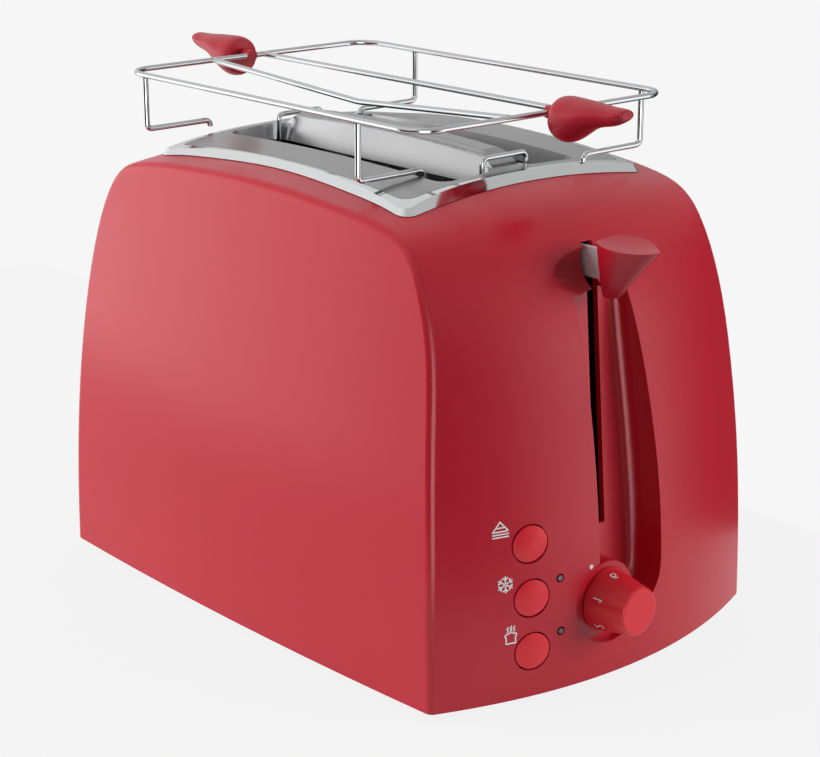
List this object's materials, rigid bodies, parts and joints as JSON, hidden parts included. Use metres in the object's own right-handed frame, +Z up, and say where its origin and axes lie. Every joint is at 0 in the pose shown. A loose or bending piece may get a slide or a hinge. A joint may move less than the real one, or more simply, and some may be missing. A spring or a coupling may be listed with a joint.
{
  "type": "pop-up toaster",
  "caption": "Pop-up toaster with a domed housing, long bread slots, a sprung front lever, push buttons, a browning dial, a crumb tray and a lift-off wire warming rack.",
  "frame": {"origin": "centre of the footprint on the surface the feet stand on", "axes": "+Z up, +Y along the slots towards the back, -Y towards the lever and dial, +X to the right seen from the front"},
  "size_m": [0.1884, 0.3144, 0.2301],
  "materials": {
    "red_plastic": "satin gloss red moulding",
    "chrome_trim": "mirror chrome",
    "satin_steel": "satin steel sheet",
    "dark_plastic": "matt black moulding",
    "grey_rubber": "matt rubber",
    "zinc_steel": "zinc plated steel",
    "mica": "pressed mica sheet",
    "heater_wire": "drawn resistance wire",
    "chrome_wire": "chromed steel wire",
    "copper_coil": "enamelled copper winding on a core",
    "board_green": "printed circuit board",
    "lamp_lens": "dark lens"
  },
  "bodies": {
    "housing": {"body_shell": "red_plastic", "top_bezel": "chrome_trim", "top_plate": "satin_steel", "base_plate": "dark_plastic", "rubber_feet": "grey_rubber", "base_screws": "zinc_steel", "cord_gland": "dark_plastic", "front_frame": "zinc_steel", "rear_frame": "zinc_steel", "left_reflector": "zinc_steel", "right_reflector": "zinc_steel", "heater_board_left": "mica", "heater_board_centre": "mica", "heater_board_right": "mica", "heater_wire_left": "heater_wire", "heater_wire_centre": "heater_wire", "heater_wire_right": "heater_wire", "guard_left_outer": "chrome_wire", "guard_left_inner": "chrome_wire", "guard_right_inner": "chrome_wire", "guard_right_outer": "chrome_wire", "divider_clips": "chrome_wire", "guide_rod": "zinc_steel", "carriage_spring": "zinc_steel", "latch_magnet": "copper_coil", "control_board": "board_green", "button_switches": "dark_plastic", "dial_potentiometer": "dark_plastic", "indicator_lights": "lamp_lens"},
    "carriage": {"carriage_bracket": "zinc_steel", "bread_lift_left": "zinc_steel", "bread_lift_right": "zinc_steel", "lever_arm": "zinc_steel", "lever_knob": "red_plastic", "latch_keeper": "zinc_steel"},
    "cancel_button": {"button_cancel": "red_plastic"},
    "defrost_button": {"button_defrost": "red_plastic"},
    "reheat_button": {"button_reheat": "red_plastic"},
    "dial": {"browning_dial": "red_plastic"},
    "tray": {"crumb_tray": "zinc_steel"},
    "rack": {"rack_rim": "chrome_wire", "rack_wires": "chrome_wire", "rack_legs": "chrome_wire", "rack_grip_front": "red_plastic", "rack_grip_rear": "red_plastic"}
  },
  "joints": [
    {"name": "lever_slide", "type": "slide", "parent": "housing", "child": "carriage", "axis": [0, 0, -1], "range_m": [0, 0.088], "stiffness_N_per_m": 60, "springref_m": -0.05, "deforming": ["carriage_spring"]},
    {"name": "cancel_press", "type": "slide", "parent": "housing", "child": "cancel_button", "axis": [0, 1, 0], "range_m": [0, 0.002], "stiffness_N_per_m": 500, "springref_m": -0.001},
    {"name": "defrost_press", "type": "slide", "parent": "housing", "child": "defrost_button", "axis": [0, 1, 0], "range_m": [0, 0.002], "stiffness_N_per_m": 500, "springref_m": -0.001},
    {"name": "reheat_press", "type": "slide", "parent": "housing", "child": "reheat_button", "axis": [0, 1, 0], "range_m": [0, 0.002], "stiffness_N_per_m": 500, "springref_m": -0.001},
    {"name": "dial_turn", "type": "hinge", "parent": "housing", "child": "dial", "pos_m": [-0.011, -0.148, 0.0352], "axis": [0, -1, 0], "range_deg": [-320, 0]},
    {"name": "tray_slide", "type": "slide", "parent": "housing", "child": "tray", "axis": [0, 1, 0], "range_m": [0, 0.16]},
    {"name": "rack_lift", "type": "slide", "parent": "housing", "child": "rack", "axis": [0, 0, 1], "range_m": [0, 0.08]}
  ]
}
